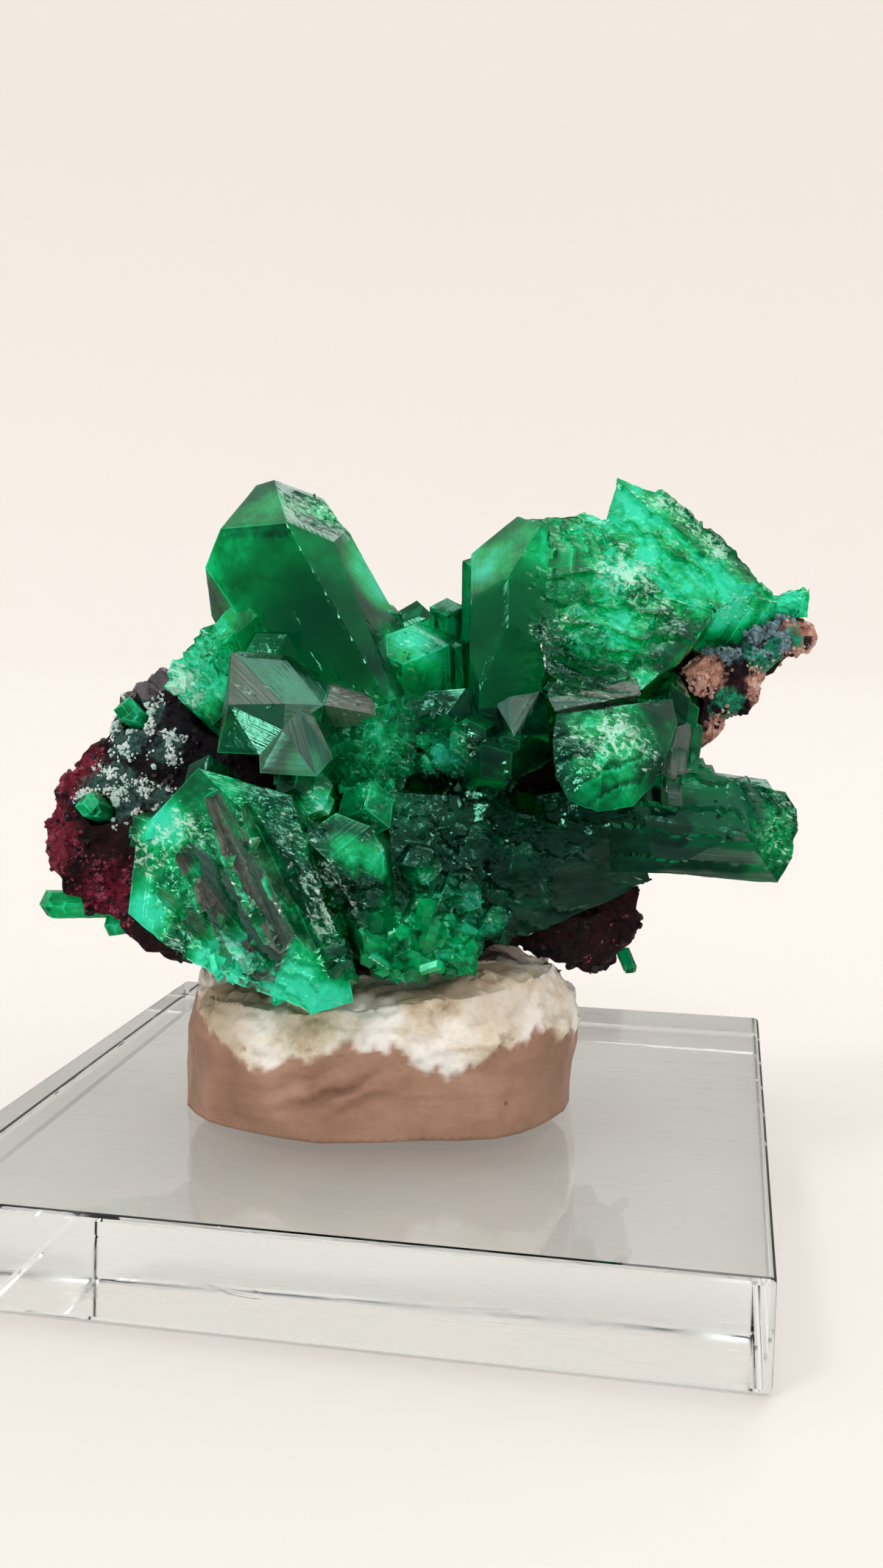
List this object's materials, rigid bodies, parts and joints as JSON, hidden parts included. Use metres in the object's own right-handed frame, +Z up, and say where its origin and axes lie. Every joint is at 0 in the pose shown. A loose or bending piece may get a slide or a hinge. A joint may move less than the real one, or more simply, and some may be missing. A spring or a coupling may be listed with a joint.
{
  "type": "dioptase on matrix specimen with display block",
  "caption": "Cluster of green prismatic dioptase crystals on dark red matrix rock, set in a wad of mineral tack on a clear square display block.",
  "frame": {"origin": "centre of the display block's underside, on the surface it stands on", "axes": "+X to the right along the block's front edge, +Y to the back, +Z up; the crystals face -Y"},
  "size_m": [0.0545, 0.0508, 0.0496],
  "materials": {
    "acrylic": "clear polished acrylic",
    "tack": "kneaded beige mineral tack",
    "rock": "rough dark red-brown granular rock",
    "dioptase": "vitreous emerald-green crystal"
  },
  "bodies": {
    "root": {"display_block": "acrylic", "mineral_tack": "tack", "matrix_rock": "rock", "dioptase_cluster": "dioptase", "underside_crystals": "dioptase", "upper_ledge_crystals": "dioptase", "lower_ledge_crystals": "dioptase", "foot_crystal": "dioptase"}
  },
  "joints": []
}
